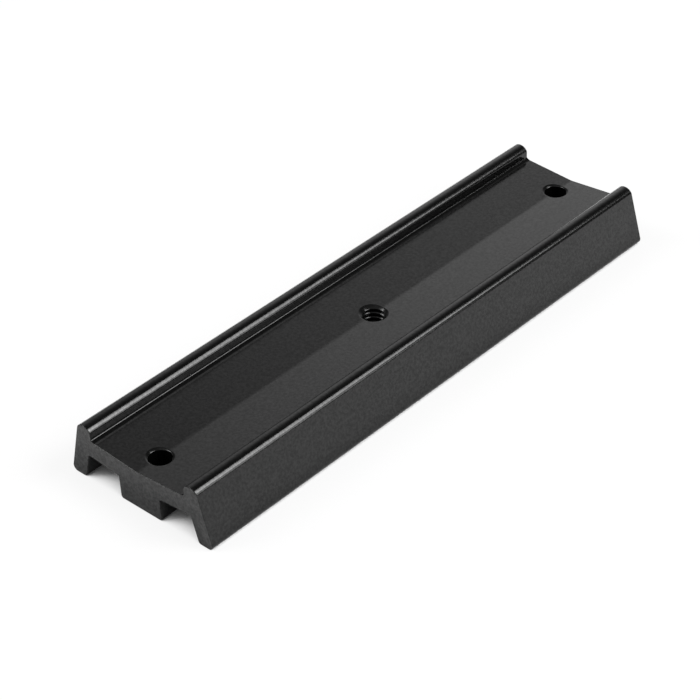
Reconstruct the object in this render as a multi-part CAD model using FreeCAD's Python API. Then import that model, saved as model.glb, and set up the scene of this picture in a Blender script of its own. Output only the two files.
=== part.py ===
import FreeCAD, Part
import math
import os

from FreeCAD import Vector

# Dovetail bar: one length sawn from a black anodised aluminium extrusion, then drilled.
# Millimetres. +X runs along the bar, +Y across it and +Z up from its feet.
# The origin is below the middle of the bar, on the plane that the feet and keel stand on.

# Bar as a whole. The base is measured across the sharp corners that the feet would have.
BAR_LENGTH = 150.0
BASE_WIDTH = 44.0
FLANK_LEAN = 15.0

# Underside: two feet that follow the flanks, and a middle keel that the holes go through.
FOOT_WIDTH = 4.49
FOOT_OUTER_RADIUS = 1.25
FOOT_INNER_RADIUS = 0.9
KEEL_WIDTH = 12.64
KEEL_CORNER_RADIUS = 0.75

# Groove on each side of the keel. Its roof rises from the keel towards the foot.
GROOVE_DEPTH_AT_KEEL = 5.94
GROOVE_ROOF_TILT = 5.0
GROOVE_CORNER_RADIUS = 0.5

# Web over the grooves. Its top is the channel's floor: a shallow V with a blended bottom.
WEB_THICKNESS_AT_KEEL = 4.59
FLOOR_TILT = 4.3
FLOOR_BLEND_RADIUS = 6.0
CHANNEL_CORNER_RADIUS = 0.3

# Two upstanding ribs beside the channel, which rise from the floor's lowest line. The top of a
# rib is a wide crown arc between two tighter shoulders, one down to its upright wall and one
# down to its flank. A shoulder's turn is the angle that its arc bends through.
RIB_RISE = 4.47
RIB_CROWN_RADIUS = 2.38
WALL_SHOULDER_RADIUS = 1.0
WALL_SHOULDER_TURN = 38.0
FLANK_SHOULDER_RADIUS = 1.6
FLANK_SHOULDER_TURN = 31.0

# The sawn ends are deburred to a narrow flat all round.
END_EDGE_BREAK = 0.15

# Two plain screw holes near the ends, and one hole in the middle for a 1/4 inch camera thread,
# which is bored here at the thread's major diameter. A countersink widens each of their mouths
# by its width all round.
END_HOLE_SETBACK = 6.75
END_HOLE_DIAMETER = 5.3
END_HOLE_SINK_WIDTH = 0.37
THREAD_MAJOR_DIAMETER = 6.35
THREAD_SINK_WIDTH = 0.13
SINK_HALF_ANGLE = 60.0
SINK_EDGE_RADIUS = 0.12


def grade(degrees):
    """Rise for each millimetre across, for a slope given in degrees."""
    return math.tan(math.radians(degrees))


def floor_apex():
    """Height at which the floor's two slopes would meet if their blend were left out."""
    floor_at_keel = GROOVE_DEPTH_AT_KEEL + WEB_THICKNESS_AT_KEEL
    return floor_at_keel - KEEL_WIDTH / 2 * grade(FLOOR_TILT)


def floor_bottom():
    """Height of the floor's lowest line, at the bottom of its blend."""
    return floor_apex() + FLOOR_BLEND_RADIUS * (1 / math.cos(math.radians(FLOOR_TILT)) - 1)


def facing(degrees):
    """Direction in the section, turned from level towards the channel (0) to straight up (90)."""
    angle = math.radians(degrees)
    return Vector(0, -math.cos(angle), math.sin(angle))


def crown_centre():
    """Centre of the crown arc on the +Y side, placed so that its outer shoulder meets the flank."""
    spare = RIB_CROWN_RADIUS - FLANK_SHOULDER_RADIUS
    from_flank = FLANK_SHOULDER_RADIUS + spare * math.cos(math.radians(FLANK_SHOULDER_TURN))
    up = floor_bottom() + RIB_RISE - RIB_CROWN_RADIUS
    across = BASE_WIDTH / 2 - up * grade(FLANK_LEAN) - from_flank / math.cos(math.radians(FLANK_LEAN))
    return Vector(0, across, up)


def shoulder_centre(direction, radius):
    """Centre of the shoulder arc that takes over from the crown arc where it faces a direction."""
    return crown_centre() + facing(direction) * (RIB_CROWN_RADIUS - radius)


def channel_side():
    """Distance from the middle to a rib's upright wall, at the foot of its inner shoulder."""
    return shoulder_centre(WALL_SHOULDER_TURN, WALL_SHOULDER_RADIUS).y - WALL_SHOULDER_RADIUS


def sharp_corner(centre, radius, start, end):
    """The sharp corner that an arc rounds off: y, z, radius. start and end are its directions."""
    reach = radius / math.cos(math.radians((end - start) / 2))
    corner = centre + facing((start + end) / 2) * reach
    return corner.y, corner.z, radius


def rib_corners():
    """Corners over the rib on the +Y side, from the flank to the wall: y, z, radius."""
    flank = 180 - FLANK_LEAN
    outer = flank - FLANK_SHOULDER_TURN
    inner = WALL_SHOULDER_TURN
    flank_centre = shoulder_centre(outer, FLANK_SHOULDER_RADIUS)
    wall_centre = shoulder_centre(inner, WALL_SHOULDER_RADIUS)
    return [
        sharp_corner(flank_centre, FLANK_SHOULDER_RADIUS, outer, flank),
        sharp_corner(crown_centre(), RIB_CROWN_RADIUS, inner, outer),
        sharp_corner(wall_centre, WALL_SHOULDER_RADIUS, 0, inner),
    ]


def half_section():
    """Corners of the half on the +Y side, from the keel round to the channel: y, z, radius."""
    lean = grade(FLANK_LEAN)
    roof = grade(GROOVE_ROOF_TILT)
    keel_side = KEEL_WIDTH / 2
    base_side = BASE_WIDTH / 2
    foot_inner = base_side - FOOT_WIDTH
    rib_wall = channel_side()

    roof_apex = GROOVE_DEPTH_AT_KEEL - keel_side * roof
    groove_side = (foot_inner - roof_apex * lean) / (1 + roof * lean)
    groove_top = roof_apex + groove_side * roof
    floor_edge = floor_apex() + rib_wall * grade(FLOOR_TILT)
    return [
        (keel_side, 0.0, KEEL_CORNER_RADIUS),
        (keel_side, GROOVE_DEPTH_AT_KEEL, GROOVE_CORNER_RADIUS),
        (groove_side, groove_top, GROOVE_CORNER_RADIUS),
        (foot_inner, 0.0, FOOT_INNER_RADIUS),
        (base_side, 0.0, FOOT_OUTER_RADIUS),
        *rib_corners(),
        (rib_wall, floor_edge, CHANNEL_CORNER_RADIUS),
    ]


def corner_arc(before, corner, after, radius):
    """Arc of the given radius that is tangent to both sides of a corner."""
    to_before = (before - corner).normalize()
    to_after = (after - corner).normalize()
    half_angle = to_before.getAngle(to_after) / 2
    setback = radius / math.tan(half_angle)
    bisector = (to_before + to_after).normalize()
    middle = corner + bisector * (radius / math.sin(half_angle) - radius)
    return Part.Arc(corner + to_before * setback, middle, corner + to_after * setback)


def rounded_face(corners):
    """Flat face bounded by straight sides, with a tangent arc at each corner.

    Where two arcs already touch, no side is left between them.
    """
    points = [Vector(0, y, z) for y, z, _ in corners]
    arcs = []
    for index, (_, _, radius) in enumerate(corners):
        after = points[(index + 1) % len(points)]
        arcs.append(corner_arc(points[index - 1], points[index], after, radius))
    edges = []
    for index, arc in enumerate(arcs):
        start = arcs[index - 1].EndPoint
        if start.distanceToPoint(arc.StartPoint) > 1e-6:
            edges.append(Part.LineSegment(start, arc.StartPoint).toShape())
        edges.append(arc.toShape())
    return Part.Face(Part.Wire(edges))


def section_face():
    """The extrusion's whole section, in the plane across the middle of the bar."""
    right = half_section()
    left = [(-y, z, radius) for y, z, radius in reversed(right)]
    return rounded_face(right + [(0.0, floor_apex(), FLOOR_BLEND_RADIUS)] + left)


def sawn_length():
    """The section drawn out to the bar's length, with both sawn ends deburred."""
    section = section_face()
    section.translate(Vector(-BAR_LENGTH / 2, 0, 0))
    length = section.extrude(Vector(BAR_LENGTH, 0, 0))
    end_edges = [edge for edge in length.Edges if edge.BoundBox.XLength < BAR_LENGTH / 2]
    return length.makeChamfer(END_EDGE_BREAK, end_edges)


def hole_cutter(x, diameter, sink_width):
    """Turned tool for one hole: a through bore with a countersink at each of its mouths.

    Each countersink runs on past its mouth, to clear the floor's slopes.
    """
    bore = diameter / 2
    flare = grade(SINK_HALF_ANGLE)
    sink_depth = sink_width / flare
    overrun = RIB_RISE
    wide = bore + (sink_depth + overrun) * flare
    top = floor_bottom()

    low = Vector(wide, 0, -overrun)
    low_bore = Vector(bore, 0, sink_depth)
    high_bore = Vector(bore, 0, top - sink_depth)
    high = Vector(wide, 0, top + overrun)
    low_arc = corner_arc(low, low_bore, high_bore, SINK_EDGE_RADIUS)
    high_arc = corner_arc(low_bore, high_bore, high, SINK_EDGE_RADIUS)
    edges = [
        Part.LineSegment(Vector(0, 0, low.z), low).toShape(),
        Part.LineSegment(low, low_arc.StartPoint).toShape(),
        low_arc.toShape(),
        Part.LineSegment(low_arc.EndPoint, high_arc.StartPoint).toShape(),
        high_arc.toShape(),
        Part.LineSegment(high_arc.EndPoint, high).toShape(),
        Part.LineSegment(high, Vector(0, 0, high.z)).toShape(),
        Part.LineSegment(Vector(0, 0, high.z), Vector(0, 0, low.z)).toShape(),
    ]
    cutter = Part.Face(Part.Wire(edges)).revolve(Vector(0, 0, 0), Vector(0, 0, 1), 360)
    cutter.translate(Vector(x, 0, 0))
    return cutter


def dovetail_bar():
    """The finished bar: the sawn length with its row of three holes."""
    cutters = [hole_cutter(0, THREAD_MAJOR_DIAMETER, THREAD_SINK_WIDTH)]
    end_hole_x = BAR_LENGTH / 2 - END_HOLE_SETBACK
    for x in (-end_hole_x, end_hole_x):
        cutters.append(hole_cutter(x, END_HOLE_DIAMETER, END_HOLE_SINK_WIDTH))
    return sawn_length().cut(cutters)


os.makedirs("parts", exist_ok=True)
bar = dovetail_bar()
bar.exportStep("parts/dovetail_bar.step")
print("dovetail_bar: solids", len(bar.Solids), "valid", bar.isValid(), "volume", round(bar.Volume, 1))
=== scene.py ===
import math

import bmesh
import bpy
from mathutils import Matrix, Vector


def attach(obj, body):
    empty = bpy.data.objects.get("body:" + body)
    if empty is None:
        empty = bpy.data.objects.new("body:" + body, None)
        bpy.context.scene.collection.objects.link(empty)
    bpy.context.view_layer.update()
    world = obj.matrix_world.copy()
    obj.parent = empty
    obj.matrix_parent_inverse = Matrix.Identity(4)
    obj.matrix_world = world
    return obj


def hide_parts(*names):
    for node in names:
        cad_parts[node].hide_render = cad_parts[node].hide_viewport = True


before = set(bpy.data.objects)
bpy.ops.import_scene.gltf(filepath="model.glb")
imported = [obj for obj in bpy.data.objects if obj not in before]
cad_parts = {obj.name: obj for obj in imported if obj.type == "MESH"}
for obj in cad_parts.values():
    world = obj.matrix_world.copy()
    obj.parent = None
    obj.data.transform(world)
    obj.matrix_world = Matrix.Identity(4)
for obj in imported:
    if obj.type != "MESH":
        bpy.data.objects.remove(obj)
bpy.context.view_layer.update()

# The extrusion. One length of aluminium bar pressed through a die, so its section runs straight
# from end to end: leaning flanks, two feet and a keel below, and a shallow V floor whose edges
# rise to two ribs with rounded tops. It is sawn to length, and its ends are deburred.
MM = 0.001  # in metres; lengths are in millimetres unless a comment says otherwise
BAR_LENGTH = 150.0
BAR_HALF_SECTION = [  # corners from the keel round to the channel: across, up, radius of the round
    (6.32, 0.0, 0.75),
    (6.32, 5.94, 0.5),
    (15.6985, 6.7605, 0.5),
    (17.51, 0.0, 0.9),
    (22.0, 0.0, 1.25),
    (18.3651, 13.5655, 1.6),
    (16.1445, 15.7099, 2.38),
    (14.3052, 13.3557, 1.0),
    (14.3052, 11.49, 0.3),
    (13.45, 11.0661, 1.5),
]
FLOOR_APEX = (0.0, 10.0548, 6.0)
ROUND_STEP = 3  # degrees turned by each flat strip of a round
END_EDGE_BREAK = 0.15
END_EDGE_SEGMENTS = 6
SAME_POINT = 1e-4  # corners that lie closer than this are one corner


def draw_line(mesh, lines, move):
    """Draws an edge of the bar sideways into a flat strip, and returns the strip's far edge."""
    drawn = bmesh.ops.extrude_edge_only(mesh, edges=lines)["geom"]
    corners = [item for item in drawn if isinstance(item, bmesh.types.BMVert)]
    bmesh.ops.translate(mesh, verts=corners, vec=move)
    return [item for item in drawn if isinstance(item, bmesh.types.BMEdge)
            and all(corner in corners for corner in item.verts)]


def turn_line(mesh, lines, centre, angle):
    """Turns an edge of the bar about a line along X into a round, and returns its far edge."""
    turned = bmesh.ops.spin(
        mesh, geom=lines + list(lines[0].verts), cent=centre, axis=(1, 0, 0), dvec=(0, 0, 0),
        angle=angle, steps=math.ceil(abs(math.degrees(angle)) / ROUND_STEP), use_duplicate=False)
    return [item for item in turned["geom_last"] if isinstance(item, bmesh.types.BMEdge)]


skin = bmesh.new()
keel_middle = Vector((0, 0, 0))
line_ends = [skin.verts.new((x, 0, 0)) for x in (-BAR_LENGTH / 2, BAR_LENGTH / 2)]
line = [skin.edges.new(line_ends)]
left_half = [(-across, up, radius) for across, up, radius in reversed(BAR_HALF_SECTION)]
section = BAR_HALF_SECTION + [FLOOR_APEX] + left_half
corners = [keel_middle] + [Vector((0, across, up)) for across, up, _ in section] + [keel_middle]
here = keel_middle
for (_, _, radius), before, corner, after in zip(section, corners, corners[1:], corners[2:]):
    into = (corner - before).normalized()
    away = (after - corner).normalized()
    turn = math.atan2(into.cross(away).x, into.dot(away))
    setback = radius * math.tan(abs(turn) / 2)
    round_start = corner - into * setback
    inward = Vector((1, 0, 0)).cross(into) * math.copysign(radius, turn)
    line = draw_line(skin, line, round_start - here)
    line = turn_line(skin, line, round_start + inward, turn)
    here = corner + away * setback
draw_line(skin, line, keel_middle - here)
bmesh.ops.remove_doubles(skin, verts=skin.verts, dist=SAME_POINT)
rims = [edge for edge in skin.edges if edge.is_boundary]
bmesh.ops.holes_fill(skin, edges=rims, sides=0)
bmesh.ops.recalc_face_normals(skin, faces=skin.faces)
bmesh.ops.bevel(skin, geom=rims, offset=END_EDGE_BREAK, offset_type="OFFSET", affect="EDGES",
                segments=END_EDGE_SEGMENTS, profile=0.5, material=-1, clamp_overlap=False)


def finished(name, mesh):
    """Makes an object from a mesh drawn in millimetres, at the origin of the frame."""
    bmesh.ops.scale(mesh, verts=mesh.verts, vec=(MM, MM, MM))
    data = bpy.data.meshes.new(name)
    mesh.to_mesh(data)
    mesh.free()
    piece = bpy.data.objects.new(name, data)
    bpy.context.scene.collection.objects.link(piece)
    return piece


bar = finished("anodised_bar", skin)

# The three holes. Each is drilled down through the keel on the middle line and countersunk a
# little, with its edges eased: a plain hole for a screw near each end, and a 1/4 inch camera
# thread in the middle, which is tapped last and keeps rounded ridges.
END_HOLE_X = 68.25
END_HOLE_RADIUS = 2.65
END_HOLE_MOUTH = 2.9
FLOOR_BOTTOM = 10.07
SINK_HALF_ANGLE = math.radians(60)
SINK_OVERRUN = 3.0
DRILL_SIDES = 120
DRILL_TURN = math.radians(0.7)  # keeps the drill's sides off the lines of the bar's mesh
MOUTH_ROUND = 0.13
MOUTH_EDGE_TURN = 0.3  # an edge is a mouth's if its faces turn by more than this, in radians
CUT_CRUMB = 0.03  # corners that a cut leaves closer than this are merged
ROUND_SEGMENTS = 4
THREAD_MAJOR_RADIUS = 3.175
THREAD_MINOR_RADIUS = 2.55
THREAD_MOUTH = 3.2
THREAD_PITCH = 1.27
THREAD_START = -1.365  # height of the groove's start, which sets where its ridges show
THREAD_HALF_ANGLE = math.radians(30)
CREST_FLAT = 0.07
CREST_ROUND = 0.155
TAP_SIDES = 72
TAP_SPARE_TURNS = 3
TAP_GRIP = 0.01  # how far the corner of the groove lies outside the drilled hole
TAP_REACH = 0.1  # how far the tap goes on from that corner into the open hole


def turned_drill(x, bore, mouth):
    """A drill with a wide countersink at each end. mouth is its radius at the bar's faces."""
    drill = bmesh.new()
    flare = math.tan(SINK_HALF_ANGLE)
    wide = mouth + SINK_OVERRUN * flare
    sink = (mouth - bore) / flare
    outline = [
        (0, -SINK_OVERRUN), (wide, -SINK_OVERRUN), (bore, sink), (bore, FLOOR_BOTTOM - sink),
        (wide, FLOOR_BOTTOM + SINK_OVERRUN), (0, FLOOR_BOTTOM + SINK_OVERRUN)]
    rungs = [drill.verts.new((radius, 0, up)) for radius, up in outline]
    for pair in zip(rungs, rungs[1:]):
        drill.edges.new(pair)
    bmesh.ops.bevel(drill, geom=rungs[2:4], offset=MOUTH_ROUND, affect="VERTICES",
                    segments=ROUND_SEGMENTS, profile=0.5, material=-1)
    bmesh.ops.spin(drill, geom=drill.verts[:] + drill.edges[:], cent=(0, 0, 0), axis=(0, 0, 1),
                   dvec=(0, 0, 0), angle=math.tau, steps=DRILL_SIDES, use_merge=True)
    bmesh.ops.remove_doubles(drill, verts=drill.verts, dist=SAME_POINT)
    bmesh.ops.recalc_face_normals(drill, faces=drill.faces)
    bmesh.ops.rotate(drill, verts=drill.verts, cent=(0, 0, 0),
                     matrix=Matrix.Rotation(DRILL_TURN, 3, "Z"))
    bmesh.ops.translate(drill, verts=drill.verts, vec=(x, 0, 0))
    return finished("drill", drill)


def screw_tap():
    """One 60 degree thread groove, wound up through the bar. It leaves rounded ridges between."""
    tap = bmesh.new()
    turns = math.ceil(FLOOR_BOTTOM / THREAD_PITCH) + TAP_SPARE_TURNS
    half_root = THREAD_PITCH / 16  # a groove's root is an eighth of the pitch wide
    half_groove = (THREAD_PITCH - CREST_FLAT) / 2
    crest = THREAD_MINOR_RADIUS + TAP_GRIP
    slope_end = half_root + (THREAD_MAJOR_RADIUS - crest) * math.tan(THREAD_HALF_ANGLE)
    upper = [(THREAD_MAJOR_RADIUS, half_root), (crest, slope_end), (crest, half_groove),
             (crest - TAP_REACH, half_groove)]
    outline = [(radius, -up) for radius, up in reversed(upper)] + upper
    rungs = [tap.verts.new((radius, 0, THREAD_START + up)) for radius, up in outline]
    tap.faces.new(rungs)
    bmesh.ops.bevel(tap, geom=[rungs[2], rungs[5]], offset=CREST_ROUND, affect="VERTICES",
                    segments=ROUND_SEGMENTS, profile=0.5, material=-1)
    steps = TAP_SIDES * turns
    bmesh.ops.spin(tap, geom=tap.verts[:] + tap.edges[:] + tap.faces[:], cent=(0, 0, 0),
                   axis=(0, 0, 1), dvec=(0, 0, THREAD_PITCH * turns / steps),
                   angle=math.tau * turns, steps=steps, use_duplicate=False)
    bmesh.ops.holes_fill(tap, edges=[edge for edge in tap.edges if edge.is_boundary], sides=0)
    bmesh.ops.recalc_face_normals(tap, faces=tap.faces)
    return finished("tap", tap)


def cut(piece, tools):
    """Takes the tools' shapes out of the piece, and clears the tools away."""
    for tool in tools:
        step = piece.modifiers.new(tool.name, "BOOLEAN")
        step.operation = "DIFFERENCE"
        step.solver = "EXACT"
        step.object = tool
    bpy.context.view_layer.update()
    shaped = piece.evaluated_get(bpy.context.evaluated_depsgraph_get())
    rough = piece.data
    piece.data = bpy.data.meshes.new_from_object(shaped)
    piece.data.name = piece.name
    piece.modifiers.clear()
    bpy.data.meshes.remove(rough)
    for tool in tools:
        bpy.data.meshes.remove(tool.data)


def clear_of_ends(corner):
    """Whether a corner lies more than a millimetre from the sawn ends."""
    return abs(corner.co.x) / MM < BAR_LENGTH / 2 - 1


def ease_mouths(piece):
    """Rounds over the edges where the countersinks meet the bar's faces."""
    mesh = bmesh.new()
    mesh.from_mesh(piece.data)
    drilled = [corner for corner in mesh.verts if clear_of_ends(corner)]
    drilled.sort(key=lambda corner: corner.co[:])  # so that each run merges the same corners
    bmesh.ops.remove_doubles(mesh, verts=drilled, dist=CUT_CRUMB * MM)
    mouths = [edge for edge in mesh.edges
              if edge.calc_face_angle(0) > MOUTH_EDGE_TURN and clear_of_ends(edge.verts[0])]
    bmesh.ops.bevel(mesh, geom=mouths, offset=MOUTH_ROUND * MM, offset_type="OFFSET",
                    affect="EDGES", segments=ROUND_SEGMENTS, profile=0.5, material=-1,
                    clamp_overlap=False)
    mesh.to_mesh(piece.data)
    mesh.free()


cut(bar, [turned_drill(-END_HOLE_X, END_HOLE_RADIUS, END_HOLE_MOUTH),
          turned_drill(END_HOLE_X, END_HOLE_RADIUS, END_HOLE_MOUTH),
          turned_drill(0, THREAD_MINOR_RADIUS, THREAD_MOUTH)])
ease_mouths(bar)
cut(bar, [screw_tap()])

for face in bar.data.polygons:
    face.use_smooth = True
bar.data.set_sharp_from_angle(angle=math.radians(20))
weighted = bar.modifiers.new("flat_faces_stay_flat", "WEIGHTED_NORMAL")
weighted.mode = "FACE_AREA"
weighted.weight = 100
weighted.keep_sharp = True

# The finish: aluminium etched satin and anodised, with the clear oxide dyed black and sealed. The
# eye sees the oxide's gloss over a nearly black ground, dulled in specks where the oxide is
# porous, with the die's faint lines along it. The sawn ends are greyer, duller and rougher.

# Pattern widths in millimetres, several times coarser than the real ones so that they show.
GRAIN_WIDTH = 0.667
ETCH_PIT_WIDTH = 0.385
DIE_LINE_WIDTH = 0.556
DIE_LINE_LENGTH = 50.0
ETCH_SHARE = 0.2
DIE_LINE_SHARE = 0.04
RELIEF_DEPTH = 0.02
DRAWN_RELIEF = 0.5
SAWN_RELIEF = 1.0
DRAWN_BLACK = "#060606"
SAWN_BLACK = "#121212"
DRAWN_DULLING = 0.32
SAWN_DULLING = 0.6
SAWN_SKIN = 0.05  # how far in from the ends the sawn look goes


def linear(colour):
    """An sRGB hex colour as the linear colour that a node takes."""
    parts = [int(colour[place:place + 2], 16) / 255 for place in (1, 3, 5)]
    return [part / 12.92 if part <= 0.04045 else ((part + 0.055) / 1.055) ** 2.4
            for part in parts] + [1.0]


def add(tree, kind, links=None, **settings):
    """Adds a node. links are its inputs' values, or the outputs that they take."""
    node = tree.nodes.new(kind)
    for name, value in settings.items():
        setattr(node, name, value)
    for name, value in (links or {}).items():
        if isinstance(value, bpy.types.NodeSocket):
            tree.links.new(value, node.inputs[name])
        else:
            node.inputs[name].default_value = value
    return node


anodised = bpy.data.materials.new("satin_black_anodised_aluminium")
anodised.use_nodes = True
tree = anodised.node_tree
tree.nodes.clear()
place = add(tree, "ShaderNodeTexCoord").outputs["Object"]
axes = add(tree, "ShaderNodeSeparateXYZ", {"Vector": place})
along = add(tree, "ShaderNodeMath", {0: axes.outputs["X"]}, operation="ABSOLUTE")
sawn = add(tree, "ShaderNodeMath", {0: along.outputs[0], 1: (BAR_LENGTH / 2 - SAWN_SKIN) * MM},
           operation="GREATER_THAN")
# A colour mix has its two colours at inputs 6 and 7, and the mixed one at output 2.
dyed = add(tree, "ShaderNodeMix", {
    0: sawn.outputs[0], 6: linear(DRAWN_BLACK), 7: linear(SAWN_BLACK)}, data_type="RGBA")
grain = add(tree, "ShaderNodeTexNoise", {
    "Vector": place, "Scale": 1 / (GRAIN_WIDTH * MM), "Detail": 2.0, "Roughness": 0.6})
speckle = add(tree, "ShaderNodeMapRange", {
    "Value": grain.outputs["Fac"], "From Min": 0.35, "From Max": 0.65})
# A metal as black as this ground has no gloss, so a share of it dulls the gloss in the pores.
dulling = add(tree, "ShaderNodeMath", {
    0: sawn.outputs[0], 1: SAWN_DULLING - DRAWN_DULLING, 2: DRAWN_DULLING},
    operation="MULTIPLY_ADD")
pores = add(tree, "ShaderNodeMath", {0: speckle.outputs["Result"], 1: dulling.outputs[0]},
            operation="MULTIPLY")
die_grid = add(tree, "ShaderNodeMapping", {"Vector": place, "Scale": (
    1 / (DIE_LINE_LENGTH * MM), 1 / (DIE_LINE_WIDTH * MM), 1 / (DIE_LINE_WIDTH * MM))})
die_lines = add(tree, "ShaderNodeTexNoise", {
    "Vector": die_grid.outputs["Vector"], "Scale": 1.0, "Detail": 3.0, "Roughness": 0.6})
lined = add(tree, "ShaderNodeMath", {
    0: die_lines.outputs["Fac"], 1: DIE_LINE_SHARE, 2: grain.outputs["Fac"]},
    operation="MULTIPLY_ADD")
etch_pits = add(tree, "ShaderNodeTexNoise", {
    "Vector": place, "Scale": 1 / (ETCH_PIT_WIDTH * MM), "Detail": 2.0, "Roughness": 0.6})
relief = add(tree, "ShaderNodeMath", {
    0: etch_pits.outputs["Fac"], 1: ETCH_SHARE, 2: lined.outputs[0]}, operation="MULTIPLY_ADD")
depth = add(tree, "ShaderNodeMath", {
    0: sawn.outputs[0], 1: SAWN_RELIEF - DRAWN_RELIEF, 2: DRAWN_RELIEF}, operation="MULTIPLY_ADD")
bump = add(tree, "ShaderNodeBump", {
    "Height": relief.outputs[0], "Strength": depth.outputs[0], "Distance": RELIEF_DEPTH * MM})
gloss = add(tree, "ShaderNodeBsdfPrincipled", {
    "Base Color": dyed.outputs[2], "Metallic": pores.outputs[0], "Roughness": 0.16, "IOR": 1.5,
    "Normal": bump.outputs["Normal"]})
add(tree, "ShaderNodeOutputMaterial", {"Surface": gloss.outputs["BSDF"]})
bar.data.materials.clear()
bar.data.materials.append(anodised)

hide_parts("dovetail_bar")
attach(bar, "root")

# The studio: a white paper floor, a large softbox high on the camera's right with a taller, dimmer
# one beside it, a third across from them, and a dark room with two soft glows: a small one beyond
# the bar's far end, and a wide faint one behind its near end.
PAPER_HALF_WIDTH = 3000
SHADOW_REACH = 20
LAMP_DISTANCE = 3.0  # in metres, as the lamps' sizes are
ROOM_LEVEL = 0.07
ROOM_GLOWS = [  # azimuth, elevation, sharpness, strength
    (37, 22, 12.2, 1.06),
    (180, 35, 1.5, 0.45),
]

sheet = bmesh.new()
bmesh.ops.create_grid(sheet, x_segments=1, y_segments=1, size=PAPER_HALF_WIDTH)
floor = finished("studio_floor", sheet)

# Matt white paper has no gloss. The camera sees it as pure white, except close round the bar,
# where the paper's own shade shows with the bar's soft shadow on it.
white = linear("#ffffff")
paper = bpy.data.materials.new("matt_white_paper")
paper.use_nodes = True
tree = paper.node_tree
tree.nodes.clear()
ray = add(tree, "ShaderNodeLightPath")
nook = add(tree, "ShaderNodeAmbientOcclusion", {"Distance": SHADOW_REACH * MM}, samples=16)
open_paper = add(tree, "ShaderNodeMapRange", {
    "Value": nook.outputs["AO"], "From Min": 0.2, "From Max": 0.5, "To Max": 0.85})
whitened = add(tree, "ShaderNodeMath", {
    0: ray.outputs["Is Camera Ray"], 1: open_paper.outputs["Result"]}, operation="MULTIPLY")
matt = add(tree, "ShaderNodeBsdfDiffuse", {"Color": linear("#f4f4f4")})
pure_white = add(tree, "ShaderNodeEmission", {"Color": white, "Strength": 1.0})
mixed = add(tree, "ShaderNodeMixShader", {
    0: whitened.outputs[0], 1: matt.outputs["BSDF"], 2: pure_white.outputs["Emission"]})
add(tree, "ShaderNodeOutputMaterial", {"Surface": mixed.outputs["Shader"]})
floor.data.materials.append(paper)


def towards(azimuth, elevation):
    """The direction at an azimuth and elevation, both in degrees."""
    around, up = math.radians(azimuth), math.radians(elevation)
    return Vector((math.cos(up) * math.cos(around), math.cos(up) * math.sin(around), math.sin(up)))


room = bpy.data.worlds.new("dark_room")
bpy.context.scene.world = room
room.use_nodes = True
tree = room.node_tree
tree.nodes.clear()
direction = add(tree, "ShaderNodeTexCoord").outputs["Generated"]
level = ROOM_LEVEL
for azimuth, elevation, sharpness, strength in ROOM_GLOWS:
    facing = add(tree, "ShaderNodeVectorMath", {0: direction, 1: towards(azimuth, elevation)},
                 operation="DOT_PRODUCT")
    lit = add(tree, "ShaderNodeMath", {0: facing.outputs["Value"], 1: 0.0}, operation="MAXIMUM")
    glow = add(tree, "ShaderNodeMath", {0: lit.outputs[0], 1: sharpness}, operation="POWER")
    level = add(tree, "ShaderNodeMath", {0: glow.outputs[0], 1: strength, 2: level},
                operation="MULTIPLY_ADD").outputs[0]
ray = add(tree, "ShaderNodeLightPath")
walls = add(tree, "ShaderNodeBackground", {"Color": white, "Strength": level})
backdrop = add(tree, "ShaderNodeBackground", {"Color": white, "Strength": 1.0})
mixed = add(tree, "ShaderNodeMixShader", {
    0: ray.outputs["Is Camera Ray"], 1: walls.outputs["Background"],
    2: backdrop.outputs["Background"]})
add(tree, "ShaderNodeOutputWorld", {"Surface": mixed.outputs["Shader"]})


def softbox(name, azimuth, elevation, width, height, radiance):
    """A rectangular soft lamp that faces the bar, given the brightness that its cloth shows."""
    lamp = bpy.data.lights.new(name, "AREA")
    lamp.shape = "RECTANGLE"
    lamp.size = width
    lamp.size_y = height
    lamp.energy = radiance * math.pi * width * height
    stand = bpy.data.objects.new(name, lamp)
    bpy.context.scene.collection.objects.link(stand)
    away = towards(azimuth, elevation)
    stand.location = away * LAMP_DISTANCE
    stand.rotation_euler = away.to_track_quat("Z", "Y").to_euler()


softbox("softbox_right", -60, 44, 2.05, 1.28, 7.6)
softbox("softbox_right_low", -62, 32, 1.10, 2.58, 3.8)
softbox("softbox_left", 132, 42, 1.50, 1.50, 6.4)

# The camera: a long lens that looks down along the bar from above its near left corner. Its focal
# length, place and turn were fitted to the bar's straight edges in the photo.
lens = bpy.data.cameras.new("camera")
lens.sensor_width = 36
lens.lens = 110.357
lens.clip_start = 0.01
camera = bpy.data.objects.new("camera", lens)
bpy.context.scene.collection.objects.link(camera)
camera.location = (-0.296895, -0.278161, 0.294257)
camera.rotation_euler = [math.radians(angle) for angle in (54.0889, 2.3888, -47.7682)]
bpy.context.scene.camera = camera
bpy.context.scene.view_settings.view_transform = "Standard"
